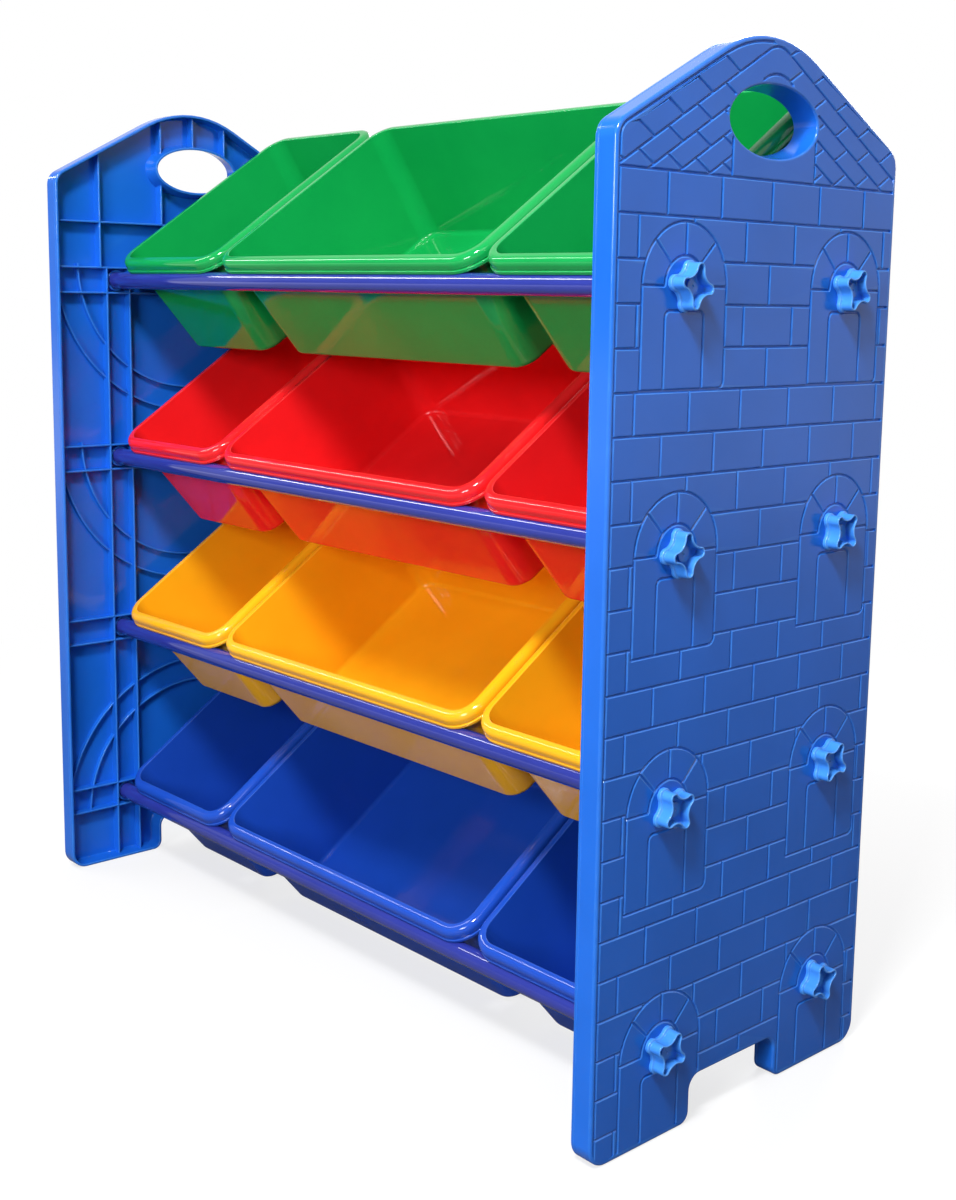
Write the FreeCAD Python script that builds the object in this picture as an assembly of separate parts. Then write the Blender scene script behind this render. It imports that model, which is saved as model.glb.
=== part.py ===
import FreeCAD, Part
import math
import os

# Toy storage organiser.  Two moulded end panels shaped like the gable of a brick
# castle are held apart by eight tubes, two for each of the four rows.  Every tube
# end holds a threaded plug, and a four-lobed knob screws into it through the panel.
# Each row carries a small, a wide and a small bin.  A bin hangs with its front lip
# over the front tube and rests with its floor on the rear tube, so it tips forward.
#
# Millimetres.  X runs along the tubes, the open front faces -Y, Z is up from the
# floor, and the origin is on the floor at the middle of the footprint.

# ---- end panels ----
FRAME_WIDTH = 862.0        # outer face to outer face
PANEL_DEPTH = 342.0        # front edge to rear edge
RIDGE_RISE = 206.1         # from the top tubes to where the two roof slopes would meet
ROOF_SLOPE = 28.7          # degrees
RIDGE_ROUND = 117.0        # radius of the rounded ridge
EAVE_ROUND = 18.0
PANEL_RIM = 21.4           # how far the edge of the moulding turns inwards
PANEL_WALL = 3.0
EDGE_BEVEL = 3.5           # bevel round the outer face
FOOT_ROUND = 18.0
FOOT_GAP = 110.0           # opening between the front and the rear foot
FOOT_GAP_HEIGHT = 39.0
FOOT_GAP_ROUND = 12.0
FOOT_INNER_ROUND = 10.0

# ---- ribs on the inner side of a panel ----
RIB_WIDTH = 2.0
RIB_REACH = 14.0           # rib edge, measured from the outer face
ARC_RIB_REACH = 9.0
OUTER_RIB_OFFSET = 115.0   # upright ribs of the gable, from the centre line
EAVE_RIB_RISE = 64.1       # level rib of the gable, above the top tubes
SOCKET_RIB_SPREAD = 14.0   # ribs that box in a tube, from its axis
ARC_RIB_RADII = (140.0, 167.0)
ARC_RIB_DROP = 18.0        # centre of the arc ribs, from the tubes of their row
CROWN_RIB_PITCH = 42.0     # short ribs over the hand hole

# ---- hand hole ----
HAND_HOLE_BELOW_RIDGE = 78.6
HAND_HOLE_SETBACK = 5.0    # its centre, behind the middle of the panel
HAND_HOLE_LENGTH = 108.0   # at the outer face
HAND_HOLE_DROP = 56.0
HAND_HOLE_DRAFT = 4.0      # how much each side of the funnel closes inwards
HAND_HOLE_WALL = 2.8

# ---- tubes and their plugs ----
ROW_PITCH = 200.0
BOTTOM_ROW_HEIGHT = 76.5
FRONT_TUBE_INSET = 77.5    # tube axis from the front edge of the panel
REAR_TUBE_INSET = 64.5     # tube axis from the rear edge of the panel
TUBE_DIAMETER = 19.0
TUBE_WALL = 1.5
SOCKET_DEPTH = 11.0
SOCKET_WALL = 2.0
SOCKET_PLAY = 0.1
PLUG_LENGTH = 26.0

# ---- knobs ----
KNOB_REACH = 17.8          # axis to the tip of a lobe
KNOB_VALLEY = 10.5         # axis to the bottom of a hollow between lobes
KNOB_TIP_ROUND = 4.5
KNOB_LOBES = 4
KNOB_HEIGHT = 13.7
KNOB_WALL = 1.6
KNOB_FOOT = 3.5            # thickness of the stepped foot
KNOB_FOOT_STEP = 1.8
KNOB_FLOOR = 5.2
KNOB_HUB_HEIGHT = 7.3
KNOB_HUB_DIAMETER = 12.0
KNOB_DIMPLE = 2.4
SCREW_DIAMETER = 8.0
SCREW_LENGTH = 24.0
SCREW_FIT = 0.05           # radial clearance of the screw in its plug
SCREW_HOLE_PLAY = 0.5      # radial clearance of the screw in the panel

# Degrees that each knob was left at when it was tightened, top row first.
KNOB_TURNS = {"front": (-10, 4, 32, 60), "rear": (64, 45, 58, 20)}

# ---- bins ----
SMALL_BIN_WIDTH = 198.0
BIN_GAP = 3.0
BIN_SIDE_GAP = 5.6         # between the outer bins and the rims of the panels
BIN_OVERHANG = 70.0        # how much longer a bin is than its tubes are apart
BIN_HEIGHT = 129.0
BIN_WALL = 2.0
BIN_RIM_WIDTH = 9.0        # lip outside the wall at the top
BIN_TAPER = 10.0           # how much each wall leans in from rim to floor
BIN_RIM_DEPTH = 14.2
BIN_RIM_SHELL = 2.4
BIN_RIM_BEVEL = 3.0
BIN_CORNER_ROUND = 21.0    # outside of the wall
BIN_FLOOR_BEVEL = 6.0
REST_GAP = 0.3             # between a bin and the tubes that carry it

ROWS = (("green", 3), ("red", 2), ("yellow", 1), ("blue", 0))

# ---- what follows from them ----
HALF_WIDTH = FRAME_WIDTH / 2
HALF_DEPTH = PANEL_DEPTH / 2
TOP_ROW_HEIGHT = BOTTOM_ROW_HEIGHT + (len(ROWS) - 1) * ROW_PITCH
RIDGE_HEIGHT = TOP_ROW_HEIGHT + RIDGE_RISE
EAVE_HEIGHT = RIDGE_HEIGHT - HALF_DEPTH * math.tan(math.radians(ROOF_SLOPE))
EAVE_RIB_HEIGHT = TOP_ROW_HEIGHT + EAVE_RIB_RISE
HAND_HOLE_HEIGHT = RIDGE_HEIGHT - HAND_HOLE_BELOW_RIDGE
TUBE_RADIUS = TUBE_DIAMETER / 2
TUBE_BORE = TUBE_RADIUS - TUBE_WALL
TUBE_SEAT = HALF_WIDTH - PANEL_WALL
TUBE_PLACES = {"front": FRONT_TUBE_INSET - HALF_DEPTH, "rear": HALF_DEPTH - REAR_TUBE_INSET}
TUBE_PITCH = TUBE_PLACES["rear"] - TUBE_PLACES["front"]
BIN_LENGTH = TUBE_PITCH + BIN_OVERHANG
WIDE_BIN_WIDTH = FRAME_WIDTH - 2 * (PANEL_RIM + BIN_SIDE_GAP + SMALL_BIN_WIDTH + BIN_GAP)
LOFT_END = 1.0             # how far cutting tools run past the faces that they open

UP = FreeCAD.Vector(0, 0, 1)
ORIGIN = FreeCAD.Vector(0, 0, 0)
# Turns a profile drawn in its own plane so that its X, Y, Z become Y, Z, X.
UPRIGHT = FreeCAD.Placement(ORIGIN, FreeCAD.Rotation(FreeCAD.Vector(1, 1, 1), 120))


def row_height(level):
    """Height of the tube axes of a row, the bottom row being level 0."""
    return BOTTOM_ROW_HEIGHT + level * ROW_PITCH


# ---- profiles ----
def rounded_outline(corners, z):
    """Closed wire at height z through corners (x, y, radius), each corner rounded."""
    edges = []
    ends = []
    count = len(corners)
    for index, (x, y, radius) in enumerate(corners):
        here = FreeCAD.Vector(x, y, z)
        before = FreeCAD.Vector(corners[index - 1][0], corners[index - 1][1], z)
        after = FreeCAD.Vector(corners[(index + 1) % count][0], corners[(index + 1) % count][1], z)
        to_before = (before - here).normalize()
        to_after = (after - here).normalize()
        half_angle = to_before.getAngle(to_after) / 2
        bisector = (to_before + to_after).normalize()
        reach = radius / math.tan(half_angle)
        middle = here + bisector * (radius / math.sin(half_angle) - radius)
        start = here + to_before * reach
        end = here + to_after * reach
        ends.append((start, end))
        edges.append(Part.Arc(start, middle, end).toShape())
        if index:
            edges.append(Part.makeLine(ends[index - 1][1], start))
    edges.append(Part.makeLine(ends[-1][1], ends[0][0]))
    return Part.Wire(Part.__sortEdges__(edges))


def inset_corners(corners, inset):
    """The same outline moved inwards, its outward corners tighter and inward ones wider."""
    moved = []
    count = len(corners)
    for index, (x, y, radius) in enumerate(corners):
        here = FreeCAD.Vector(x, y, 0)
        before = FreeCAD.Vector(corners[index - 1][0], corners[index - 1][1], 0)
        after = FreeCAD.Vector(corners[(index + 1) % count][0], corners[(index + 1) % count][1], 0)
        arriving = (here - before).normalize()
        leaving = (after - here).normalize()
        turn = arriving.cross(leaving).z
        inward = UP.cross(arriving) + UP.cross(leaving)
        step = inward * (inset / (1 + arriving.dot(leaving)))
        moved_radius = max(radius - math.copysign(inset, turn), 1.0)
        moved.append((x + step.x, y + step.y, moved_radius))
    return moved


def rectangle_corners(width, length, radius):
    """Corners of a rounded rectangle centred on the origin, anticlockwise."""
    x = width / 2
    y = length / 2
    return [(x, -y, radius), (x, y, radius), (-x, y, radius), (-x, -y, radius)]


def prism(corners, bottom, top):
    """Solid with the same outline from one height to another."""
    face = Part.Face(rounded_outline(corners, bottom))
    return face.extrude(UP * (top - bottom))


def tapered(corners_low, low, corners_high, high):
    """Solid between two outlines of the same kind."""
    wires = [rounded_outline(corners_low, low), rounded_outline(corners_high, high)]
    return Part.makeLoft(wires, True, True)


def ellipse_tube(length_low, drop_low, low, length_high, drop_high, high, x, y):
    """Tapered solid of elliptical section round an upright axis at (x, y)."""
    wires = []
    for length, drop, z in ((length_low, drop_low, low), (length_high, drop_high, high)):
        centre = FreeCAD.Vector(x, y, z)
        wires.append(Part.Wire(Part.Ellipse(centre, length / 2, drop / 2).toShape()))
    return Part.makeLoft(wires, True, True)


def fused(shapes):
    """One shape out of many."""
    return shapes[0].multiFuse(shapes[1:]) if len(shapes) > 1 else shapes[0]


# ---- end panels ----
# A panel is drawn lying down: its X is the depth of the organiser, its Y the height,
# and its Z runs outwards, so that the outer face is at HALF_WIDTH.
def panel_corners():
    half_gap = FOOT_GAP / 2
    return [
        (-HALF_DEPTH, 0, FOOT_ROUND),
        (-half_gap, 0, FOOT_INNER_ROUND),
        (-half_gap, FOOT_GAP_HEIGHT, FOOT_GAP_ROUND),
        (half_gap, FOOT_GAP_HEIGHT, FOOT_GAP_ROUND),
        (half_gap, 0, FOOT_INNER_ROUND),
        (HALF_DEPTH, 0, FOOT_ROUND),
        (HALF_DEPTH, EAVE_HEIGHT, EAVE_ROUND),
        (0, RIDGE_HEIGHT, RIDGE_ROUND),
        (-HALF_DEPTH, EAVE_HEIGHT, EAVE_ROUND),
    ]


def panel_blank(wall):
    """The moulding's envelope, set in by a wall; wall 0 gives the outside."""
    corners = inset_corners(panel_corners(), wall) if wall else panel_corners()
    bevelled = inset_corners(panel_corners(), wall + EDGE_BEVEL)
    shoulder = HALF_WIDTH - wall - EDGE_BEVEL
    inner_side = HALF_WIDTH - PANEL_RIM - (LOFT_END if wall else 0)
    body = prism(corners, inner_side, shoulder)
    return body.fuse(tapered(corners, shoulder, bevelled, HALF_WIDTH - wall))


def rib(x, y, size_x, size_y):
    """Straight rib centred on (x, y), standing on the web."""
    corner = FreeCAD.Vector(x - size_x / 2, y - size_y / 2, HALF_WIDTH - RIB_REACH)
    return Part.makeBox(size_x, size_y, RIB_REACH, corner)


def ring(x, y, radius, width, reach):
    """Round rib of the given mid radius, standing on the web."""
    centre = FreeCAD.Vector(x, y, HALF_WIDTH - reach)
    outside = Part.makeCylinder(radius + width / 2, reach, centre, UP)
    return outside.cut(Part.makeCylinder(radius - width / 2, reach, centre, UP))


def half_ring(radius, centre_height, hangs):
    """Arc rib that hangs below, or stands above, its centre."""
    reach = ARC_RIB_REACH
    band = ring(0, centre_height, radius, RIB_WIDTH, reach)
    bottom = centre_height - radius - RIB_WIDTH if hangs else centre_height
    corner = FreeCAD.Vector(-HALF_DEPTH, bottom, HALF_WIDTH - reach)
    return band.common(Part.makeBox(PANEL_DEPTH, radius + RIB_WIDTH, reach, corner))


def panel_ribs():
    """Upright, level, arched and socket ribs of a panel."""
    gable_foot = TOP_ROW_HEIGHT + SOCKET_RIB_SPREAD
    gable_height = RIDGE_HEIGHT - gable_foot
    ribs = [rib(0, EAVE_RIB_HEIGHT, PANEL_DEPTH, RIB_WIDTH)]
    for side in (-1, 1):
        ribs.append(rib(side * OUTER_RIB_OFFSET, gable_foot + gable_height / 2, RIB_WIDTH, gable_height))
    crown_height = RIDGE_HEIGHT - HAND_HOLE_HEIGHT
    for offset in (-CROWN_RIB_PITCH, 0, CROWN_RIB_PITCH):
        place = HAND_HOLE_SETBACK + offset
        ribs.append(rib(place, HAND_HOLE_HEIGHT + crown_height / 2, RIB_WIDTH, crown_height))
    apron_height = HAND_HOLE_HEIGHT - EAVE_RIB_HEIGHT
    for offset in (-CROWN_RIB_PITCH, CROWN_RIB_PITCH):
        place = HAND_HOLE_SETBACK + offset
        ribs.append(rib(place, EAVE_RIB_HEIGHT + apron_height / 2, RIB_WIDTH, apron_height))
    for tube_y in TUBE_PLACES.values():
        for side in (-1, 1):
            ribs.append(rib(tube_y + side * SOCKET_RIB_SPREAD, gable_foot / 2, RIB_WIDTH, gable_foot))
    for _, level in ROWS:
        for side in (-1, 1):
            ribs.append(rib(0, row_height(level) + side * SOCKET_RIB_SPREAD, PANEL_DEPTH, RIB_WIDTH))
    for radius in ARC_RIB_RADII:
        ribs.append(half_ring(radius, TOP_ROW_HEIGHT + ARC_RIB_DROP, True))
        ribs.append(half_ring(radius, TOP_ROW_HEIGHT - ROW_PITCH + ARC_RIB_DROP, True))
        ribs.append(half_ring(radius, BOTTOM_ROW_HEIGHT - ARC_RIB_DROP, False))
    for _, level in ROWS:
        for tube_y in TUBE_PLACES.values():
            bore = TUBE_RADIUS + SOCKET_PLAY
            mid_radius = bore + SOCKET_WALL / 2
            ribs.append(ring(tube_y, row_height(level), mid_radius, SOCKET_WALL, SOCKET_DEPTH + PANEL_WALL))
    return fused(ribs)


def socket_clearance():
    """What the tubes and the knob screws take out of a panel."""
    cutters = []
    for _, level in ROWS:
        for tube_y in TUBE_PLACES.values():
            seat = FreeCAD.Vector(tube_y, row_height(level), HALF_WIDTH - PANEL_RIM)
            depth = TUBE_SEAT - (HALF_WIDTH - PANEL_RIM)
            cutters.append(Part.makeCylinder(TUBE_RADIUS + SOCKET_PLAY, depth, seat, UP))
            hole = SCREW_DIAMETER / 2 + SCREW_HOLE_PLAY
            cutters.append(Part.makeCylinder(hole, PANEL_RIM + LOFT_END, seat, UP))
    return fused(cutters)


def hand_hole(grow, inner_side, outer_side):
    """Funnel of the hand hole, widened by grow for the collar round it."""
    close = 2 * HAND_HOLE_DRAFT
    length = HAND_HOLE_LENGTH + 2 * grow
    drop = HAND_HOLE_DROP + 2 * grow
    place = (HAND_HOLE_SETBACK, HAND_HOLE_HEIGHT)
    return ellipse_tube(length - close, drop - close, inner_side, length, drop, outer_side, *place)


def end_panel():
    """The right-hand panel in its place."""
    inner_side = HALF_WIDTH - PANEL_RIM
    hollow = panel_blank(PANEL_WALL)
    hollow = hollow.cut(panel_ribs())
    hollow = hollow.cut(hand_hole(HAND_HOLE_WALL, inner_side, HALF_WIDTH))
    panel = panel_blank(0).cut(hollow)
    panel = panel.cut(hand_hole(0, inner_side, HALF_WIDTH))
    panel = panel.cut(socket_clearance())
    panel = panel.removeSplitter()
    panel.Placement = UPRIGHT
    return panel


# ---- tubes, plugs and knobs ----
# These are drawn along Z and then laid along X.
def tube(place, level):
    """Painted tube that runs from web to web."""
    outside = Part.makeCylinder(TUBE_RADIUS, 2 * TUBE_SEAT, FreeCAD.Vector(0, 0, -TUBE_SEAT), UP)
    bore = Part.makeCylinder(TUBE_BORE, 2 * TUBE_SEAT, FreeCAD.Vector(0, 0, -TUBE_SEAT), UP)
    shape = outside.cut(bore)
    return on_axis(shape, place, level, 0)


def plug(place, level):
    """Threaded plug pressed into the right-hand end of a tube."""
    start = FreeCAD.Vector(0, 0, TUBE_SEAT - PLUG_LENGTH)
    body = Part.makeCylinder(TUBE_BORE, PLUG_LENGTH, start, UP)
    bore = Part.makeCylinder(SCREW_DIAMETER / 2 + SCREW_FIT, PLUG_LENGTH, start, UP)
    return on_axis(body.cut(bore), place, level, 0)


def lobed_outline(grow, z):
    """Star outline with round tips and round hollows, moved outwards by grow."""
    tip_radius = KNOB_TIP_ROUND + grow
    tip_centre = KNOB_REACH - KNOB_TIP_ROUND
    valley = KNOB_VALLEY + grow
    step = math.pi / KNOB_LOBES
    spread = tip_radius - valley
    hollow_centre = (tip_centre**2 - spread**2) / (2 * tip_centre * math.cos(step) + 2 * spread)

    def polar(radius, angle):
        return FreeCAD.Vector(radius * math.cos(angle), radius * math.sin(angle), z)

    def meeting(tip_angle, hollow_angle):
        centre = polar(tip_centre, tip_angle)
        return centre + (polar(hollow_centre, hollow_angle) - centre).normalize() * tip_radius

    edges = []
    for lobe in range(KNOB_LOBES):
        angle = 2 * step * lobe
        start = meeting(angle, angle - step)
        end = meeting(angle, angle + step)
        following = meeting(angle + 2 * step, angle + step)
        edges.append(Part.Arc(start, polar(tip_centre + tip_radius, angle), end).toShape())
        edges.append(Part.Arc(end, polar(valley, angle + step), following).toShape())
    return Part.Wire(edges)


def lobed_prism(grow, bottom, top):
    face = Part.Face(lobed_outline(grow, bottom))
    return face.extrude(UP * (top - bottom))


def knob(place, level, turn):
    """Right-hand knob: stepped foot, hollow cup with a hub, and its moulded screw."""
    body = lobed_prism(KNOB_FOOT_STEP, 0, KNOB_FOOT)
    body = body.fuse(lobed_prism(0, KNOB_FOOT, KNOB_HEIGHT))
    body = body.cut(lobed_prism(-KNOB_WALL, KNOB_FLOOR, KNOB_HEIGHT))
    hub_radius = KNOB_HUB_DIAMETER / 2
    hub = Part.makeCylinder(hub_radius, KNOB_HUB_HEIGHT - KNOB_FLOOR, UP * KNOB_FLOOR, UP)
    dimple = Part.makeCone(0, KNOB_DIMPLE / 2, KNOB_DIMPLE / 2, UP * (KNOB_HUB_HEIGHT - KNOB_DIMPLE / 2), UP)
    screw = Part.makeCylinder(SCREW_DIAMETER / 2, SCREW_LENGTH, UP * -SCREW_LENGTH, UP)
    body = body.fuse([hub, screw]).cut(dimple)
    body = body.removeSplitter()
    body.rotate(ORIGIN, UP, turn)
    return on_axis(body, place, level, HALF_WIDTH)


def on_axis(shape, place, level, x):
    """Lays a shape drawn along Z on the axis of one tube, moved by x along it."""
    shape.Placement = UPRIGHT.multiply(shape.Placement)
    shape.translate(FreeCAD.Vector(x, TUBE_PLACES[place], row_height(level)))
    return shape


# ---- bins ----
# A bin is drawn level, with the top of its rim at z = 0 and the middle of its front
# edge on the origin, and is then tipped until its floor lies on the rear tube.
def drafted_block(low_size, low, high_size, high, corner_round):
    """Block with four flat leaning walls and rounded upright corners."""
    rings = []
    for (width, length), z in ((low_size, low), (high_size, high)):
        rings.append([FreeCAD.Vector(x, y, z) for x, y, _ in rectangle_corners(width, length, 0)])
    bottom, top = rings
    outlines = [bottom[::-1], top]
    for index in range(4):
        after = (index + 1) % 4
        outlines.append([bottom[index], bottom[after], top[after], top[index]])
    faces = [Part.Face(Part.makePolygon(outline + outline[:1])) for outline in outlines]
    block = Part.makeSolid(Part.makeShell(faces))
    upright = [edge for edge in block.Edges if edge.BoundBox.ZLength > (high - low) / 2]
    return block.makeFillet(corner_round, upright)


def bin_solid(width):
    """Tapered box with a hollow lip that turns down round its mouth."""

    def wall_size(depth, inset):
        """Width and length over the wall at a depth below the rim, set in by some thickness."""
        shrink = 2 * (BIN_RIM_WIDTH + BIN_TAPER * depth / BIN_HEIGHT + inset)
        return width - shrink, BIN_LENGTH - shrink

    def cup(inset, top, floor):
        """Body from a top height down to a floor depth, its floor edge bevelled."""
        corner_round = BIN_CORNER_ROUND - inset
        bevel = BIN_FLOOR_BEVEL - inset / 2
        walls = drafted_block(wall_size(floor, inset), -floor, wall_size(-top, inset), top, corner_round)
        foot_width, foot_length = wall_size(floor, inset + bevel)
        spread = 2 * (floor + top)
        flared_size = (foot_width + spread, foot_length + spread)
        return walls.common(drafted_block((foot_width, foot_length), -floor, flared_size, top, corner_round))

    lip_corners = rectangle_corners(width, BIN_LENGTH, BIN_CORNER_ROUND + BIN_RIM_WIDTH)
    lip_top = inset_corners(lip_corners, BIN_RIM_BEVEL)
    lip = prism(lip_corners, -BIN_RIM_DEPTH, -BIN_RIM_BEVEL)
    lip = lip.fuse(tapered(lip_corners, -BIN_RIM_BEVEL, lip_top, 0))
    groove = prism(inset_corners(lip_corners, BIN_RIM_SHELL), -BIN_RIM_DEPTH, -BIN_RIM_SHELL)
    outside = cup(0, 0, BIN_HEIGHT)
    inside = cup(BIN_WALL, LOFT_END, BIN_HEIGHT - BIN_WALL)
    shape = lip.cut(groove).fuse(outside).cut(inside).removeSplitter()
    shape.translate(FreeCAD.Vector(0, BIN_LENGTH / 2, 0))
    return shape


def bin_seat():
    """Where the front tube's axis lies in a level bin, and how far the bin tips."""
    touch = TUBE_RADIUS + REST_GAP
    drop = BIN_RIM_DEPTH + touch
    wall = BIN_RIM_WIDTH + BIN_TAPER * drop / BIN_HEIGHT
    setback = wall - touch
    tip = math.asin((BIN_HEIGHT + touch - drop) / TUBE_PITCH)
    return setback, drop, math.degrees(tip)


def hung_bin(width, x, level):
    """A bin on its two tubes."""
    setback, drop, tip = bin_seat()
    shape = bin_solid(width)
    shape.translate(FreeCAD.Vector(x, -setback, drop))
    shape.rotate(ORIGIN, FreeCAD.Vector(1, 0, 0), tip)
    shape.translate(FreeCAD.Vector(0, TUBE_PLACES["front"], row_height(level)))
    return shape


# ---- the whole organiser ----
def mirrored(shape):
    return shape.mirror(ORIGIN, FreeCAD.Vector(1, 0, 0))


def organiser():
    """Every piece by its name."""
    pieces = {"right_panel": end_panel()}
    pieces["left_panel"] = mirrored(pieces["right_panel"])
    side_place = (WIDE_BIN_WIDTH + SMALL_BIN_WIDTH) / 2 + BIN_GAP
    for index, (colour, level) in enumerate(ROWS):
        for place in ("front", "rear"):
            name = f"{place}_{index + 1}"
            turn = KNOB_TURNS[place][index]
            pieces[f"tube_{name}"] = tube(place, level)
            pieces[f"plug_{name}_right"] = plug(place, level)
            pieces[f"plug_{name}_left"] = mirrored(pieces[f"plug_{name}_right"])
            pieces[f"knob_{name}_right"] = knob(place, level, turn)
            pieces[f"knob_{name}_left"] = mirrored(pieces[f"knob_{name}_right"])
        pieces[f"{colour}_bin_left"] = hung_bin(SMALL_BIN_WIDTH, -side_place, level)
        pieces[f"{colour}_bin_wide"] = hung_bin(WIDE_BIN_WIDTH, 0, level)
        pieces[f"{colour}_bin_right"] = hung_bin(SMALL_BIN_WIDTH, side_place, level)
    return pieces


os.makedirs("parts", exist_ok=True)
for piece_name, piece in organiser().items():
    piece.exportStep(f"parts/{piece_name}.step")
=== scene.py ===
import math
import bmesh
import bpy
import numpy
from mathutils import Matrix, Vector
from mathutils.geometry import delaunay_2d_cdt


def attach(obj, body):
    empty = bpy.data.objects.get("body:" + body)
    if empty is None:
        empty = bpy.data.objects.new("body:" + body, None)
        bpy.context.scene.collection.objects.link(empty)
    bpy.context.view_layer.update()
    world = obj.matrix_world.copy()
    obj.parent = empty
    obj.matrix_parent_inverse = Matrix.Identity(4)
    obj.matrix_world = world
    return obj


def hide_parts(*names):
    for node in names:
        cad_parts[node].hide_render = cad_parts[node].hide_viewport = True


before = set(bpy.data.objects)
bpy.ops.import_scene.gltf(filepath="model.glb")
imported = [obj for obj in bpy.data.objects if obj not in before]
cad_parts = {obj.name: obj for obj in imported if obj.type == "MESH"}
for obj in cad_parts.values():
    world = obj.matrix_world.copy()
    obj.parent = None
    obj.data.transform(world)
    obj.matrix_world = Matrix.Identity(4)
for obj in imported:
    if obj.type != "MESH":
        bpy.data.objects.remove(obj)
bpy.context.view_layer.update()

# Toy storage organiser, dressed over its solids.  Sizes of the pieces are millimetres in the
# same frame: X along the tubes, the open front towards -Y, Z up from the floor.  An outline
# or a section is a list of corners, each with its place and its rounding.
MM = 0.001
ARC_STEP = 6.0             # degrees between the points of a rounded corner
PROFILE_STEP = 15.0        # the same in the sections of panels and bins, and in the doorways
RIB_STEP = 25.0            # the same in other sections
TUBE_STEP = 30.0
KNOB_STEP = 20.0
HUB_STEP = 25.0
SAME_POINT = 0.0005        # points of a flat face that lie closer than this are joined
WELD = 0.002               # points of a piece that lie closer than this are joined
SHORTEST_EDGE = 0.001      # shorter ones are dissolved
TIGHTEST_ROUND = 0.8       # of an outline that is moved inwards
SHARP_ANGLE = 28.0         # degrees between two faces, from which their edge stays sharp
SHADING_WEIGHT = 90
WEAR_AND_HIGHLIGHT_BEND = 1.2            # radians for each mm of width, from which an edge counts as fully worn and fully paled as a painted highlight

# ---- end panels ----
HALF_WIDTH = 431.0
HALF_DEPTH = 171.0
RIDGE_HEIGHT = 882.5       # where the two roof slopes would meet without the rounding
ROOF_SLOPE = math.tan(math.radians(28.7))
EAVE_HEIGHT = RIDGE_HEIGHT - HALF_DEPTH * ROOF_SLOPE
RIDGE_ROUND = 117.0
CORNER_ROUND = 18.0        # outer corners, at the floor and at the eaves
FOOT_GAP = 110.0
FOOT_GAP_HEIGHT = 39.0
FOOT_GAP_ROUNDS = (10.0, 12.0)  # at the floor, and at its upper corners
PANEL_RIM = 21.4           # depth of the turned-in rim
PANEL_WALL = 3.0
RIM_DRAFT = 0.8
RIM_ROUNDS = (1.6, 0.9, 1.4)    # where it meets the web, and at its inner and outer edge
WEB_START = 8.0            # where the flat web begins, from the edge of the panel
RIM_LINE = 17.6            # middle of the fine groove round the rim, from the outer face
RIM_LINE_HALF = 0.5        # half its width
RIM_LINE_DEPTH = 0.4
RIM_LINE_ROUNDS = (0.25, 0.15)  # at its edges, and at its root
EDGE_ROUND = 2.5
HOLE_CENTRE = Vector((5.0, 803.0))
HOLE_REACH = Vector((54.0, 28.0))
HOLE_DRAFT = 4.0
HOLE_WALL = 2.8
HOLE_LIP = 2.0             # width of the rounding at its edge
HOLE_ROUNDS = (1.8, 0.8)   # at the outer face, and at the funnel's end
HOLE_RIM = 3.2             # plain border between the edge and the pattern

# ---- the brick pattern ----
COURSE_TOP = 758.7
COURSE_PITCH = 31.9
COURSES = 24
BRICK_LENGTH = 60.35
EVEN_JOINT = -115.35       # first upright joint of the even courses
ODD_JOINT = -145.45
PATTERN_MIDDLE = 6.5
EDGE_LINE = 4.4            # groove along the front edge, from the edge of the panel
GROOVE = ((0.3, -1.2), (1.05, -0.3), (1.6, 0.0))    # distance from the middle, and depth
LINE_STEP = 0.25           # between the places where a line is tested for being hidden
SHORTEST_LINE = 2.0
DOOR_REACH = 47.0
DOOR_SILL = 76.4
DOOR_ROUND = 6.0
RING_REACH = 22.5
KEYSTONE_ANGLES = (45, 90, 135)
ARCH_STEPS = 30
RING_STEPS = 20
LEAF_REACH = 21.5
LEAF_TOP = 18.0
LEAF_ROUND = 5.5
GABLE_SLOPE = 0.5867
GABLE_APEX = 862.5
GABLE_PITCH = 19.3
GABLE_COURSES = 6
GABLE_ROUNDS = (23.0, 30.0)     # of the two top courses over the middle
GABLE_APEX_REACH = 60.0    # from the middle to where a rounded apex is straight for certain
GABLE_REACH = 190.0
GABLE_JOINT = 30.9
GABLE_JOINTS = 6
GABLE_JOINT_LEAN = 16.45
PLATE = (-44.5, 57.3)      # sides of the plain plate under the hand hole

# ---- tubes ----
ROW_HEIGHTS = (676.5, 476.5, 276.5, 76.5)
TUBE_PLACES = {"front": -93.5, "rear": 106.5}
TUBE_RADIUS = 9.5
TUBE_WALL = 1.5
TUBE_SEAT = HALF_WIDTH - PANEL_WALL
TUBE_ROUNDS = (0.3, 0.5)
TUBE_SIDES = 72

# ---- ribs ----
RIB_HALF = 1.0             # half the width of a rib
RIB_DRAFT = 0.15
RIB_ROOT = 2.0             # the ribs begin inside the web, this far from the outer face
RIB_ROUND = 0.6
RIB_REACH = 14.0
SOCKET_REACH = 9.0
SOCKET_GAP = 1.1           # from the tube to the middle of the ring round it
SOCKET_STEPS = 48
ARC_RIB_REACH = 9.0
OUTER_RIB_OFFSET = 115.0
EAVE_RIB_HEIGHT = 740.6
SOCKET_RIB_SPREAD = 14.0
ARC_RIB_RADII = (140.0, 167.0)
ARC_RIB_DROP = 18.0
ARC_RIB_STEPS = 60
# Height of the centre of each pair of arched ribs, and the angle at which they start.
ARC_RIBS = (
    (ROW_HEIGHTS[0] + ARC_RIB_DROP, 180),
    (ROW_HEIGHTS[1] + ARC_RIB_DROP, 180),
    (ROW_HEIGHTS[3] - ARC_RIB_DROP, 0),
)
CROWN_RIB_PITCH = 42.0

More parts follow.
